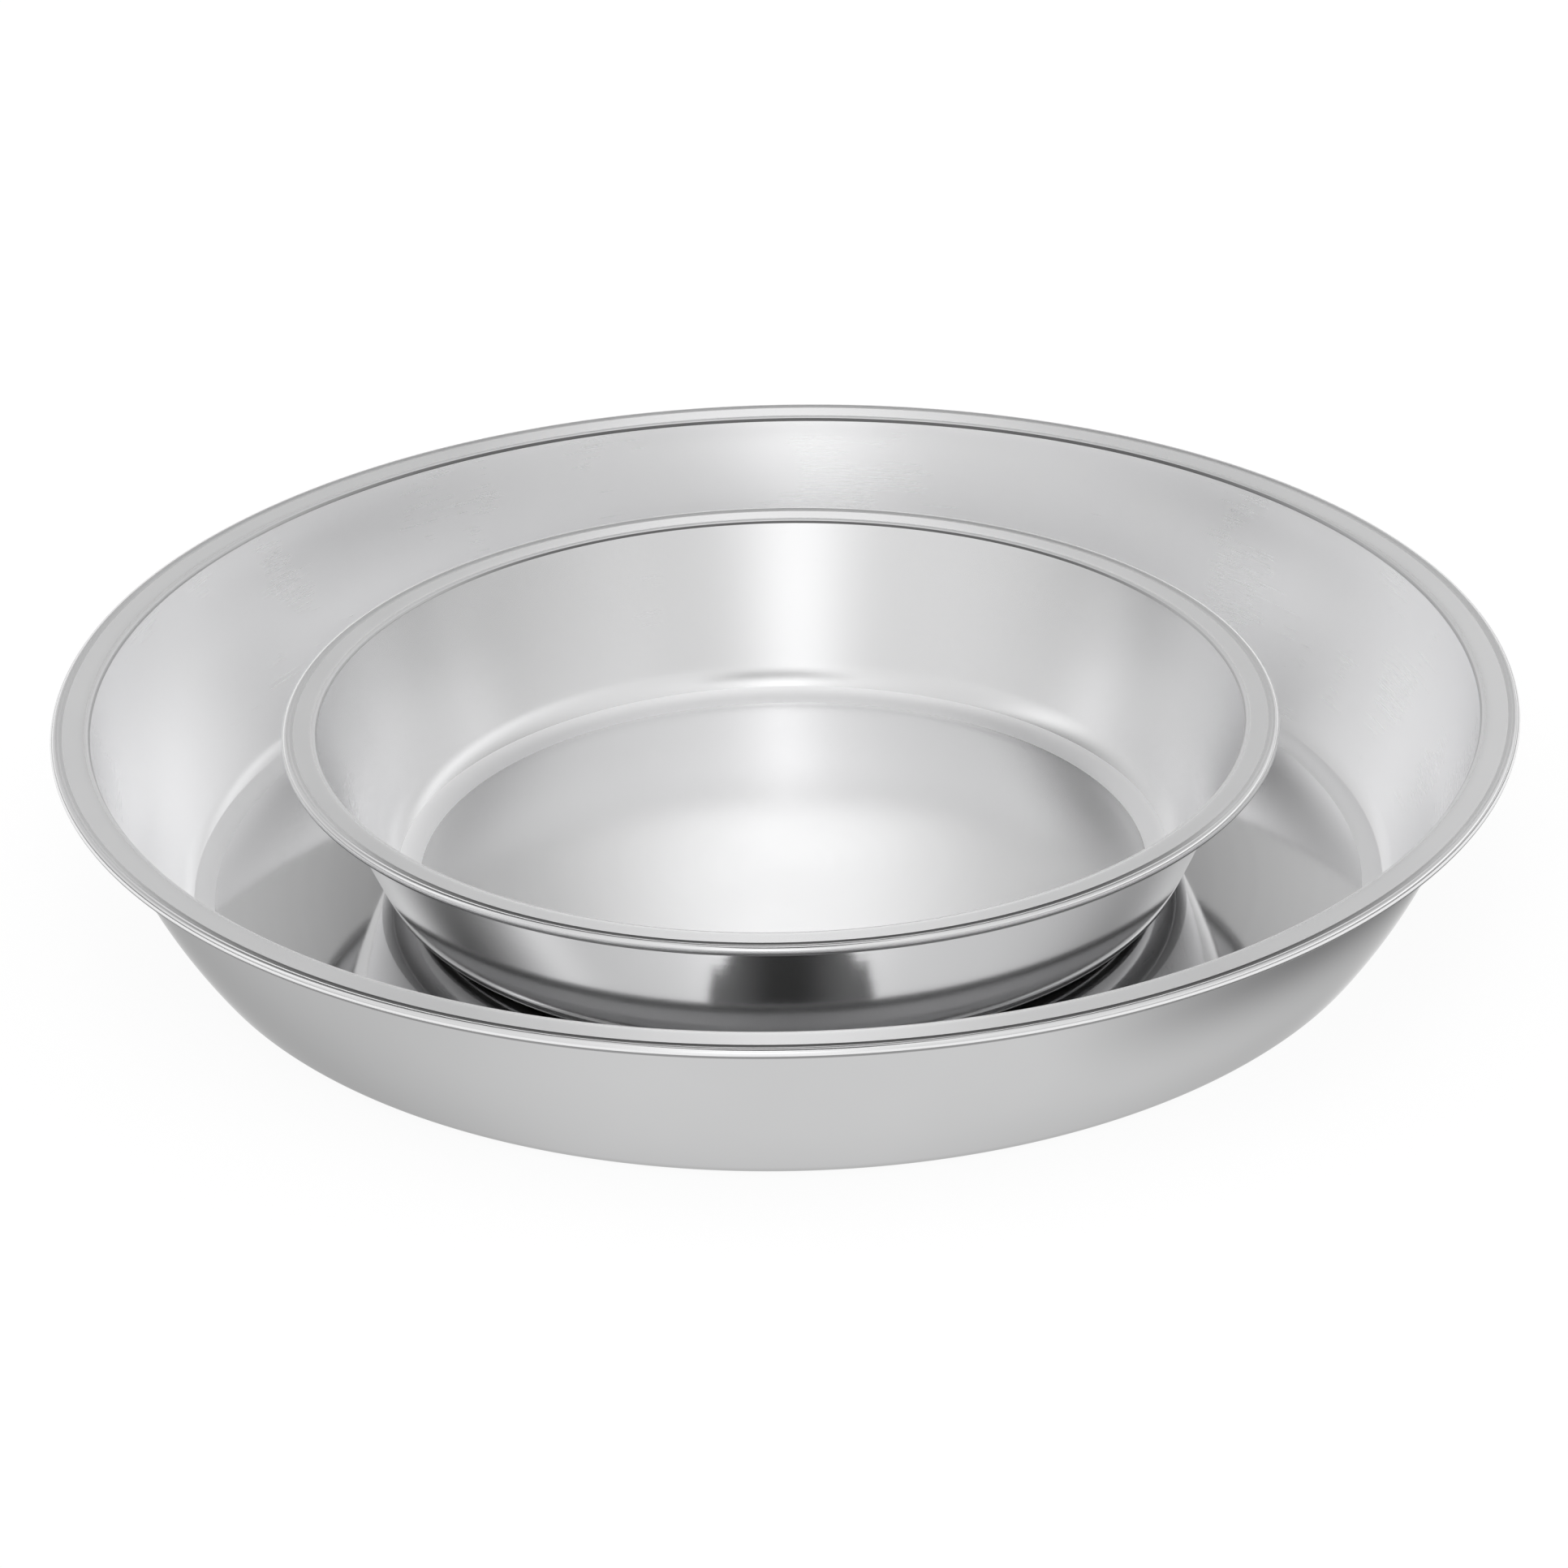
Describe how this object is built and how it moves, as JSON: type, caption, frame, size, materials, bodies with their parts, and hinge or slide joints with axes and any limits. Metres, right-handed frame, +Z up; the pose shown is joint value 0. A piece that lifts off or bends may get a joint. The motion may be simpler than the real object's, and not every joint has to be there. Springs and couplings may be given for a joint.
{
  "type": "nested steel pans",
  "caption": "Round shallow stainless-steel pan with flared wall and narrow curled rim, with a smaller matching pan standing loose inside it.",
  "frame": {"origin": "middle of the underside of the large pan's base, on the surface that it stands on", "axes": "+Z up out of the open tops of both pans; -Y towards the viewer's side; the small pan stands within 1 mm of the middle"},
  "size_m": [0.23, 0.23, 0.0326],
  "materials": {
    "large_pan_steel": "stainless-steel sheet polished almost to a mirror, with faint turning marks",
    "small_pan_steel": "stainless-steel sheet polished almost to a mirror, with faint turning marks"
  },
  "bodies": {
    "large_pan": {"large_pan": "large_pan_steel"},
    "small_pan": {"small_pan": "small_pan_steel"}
  },
  "joints": [
    {"name": "small_pan_lift", "type": "slide", "parent": "large_pan", "child": "small_pan", "axis": [0, 0, 1], "range_m": [0, 0.06]}
  ]
}
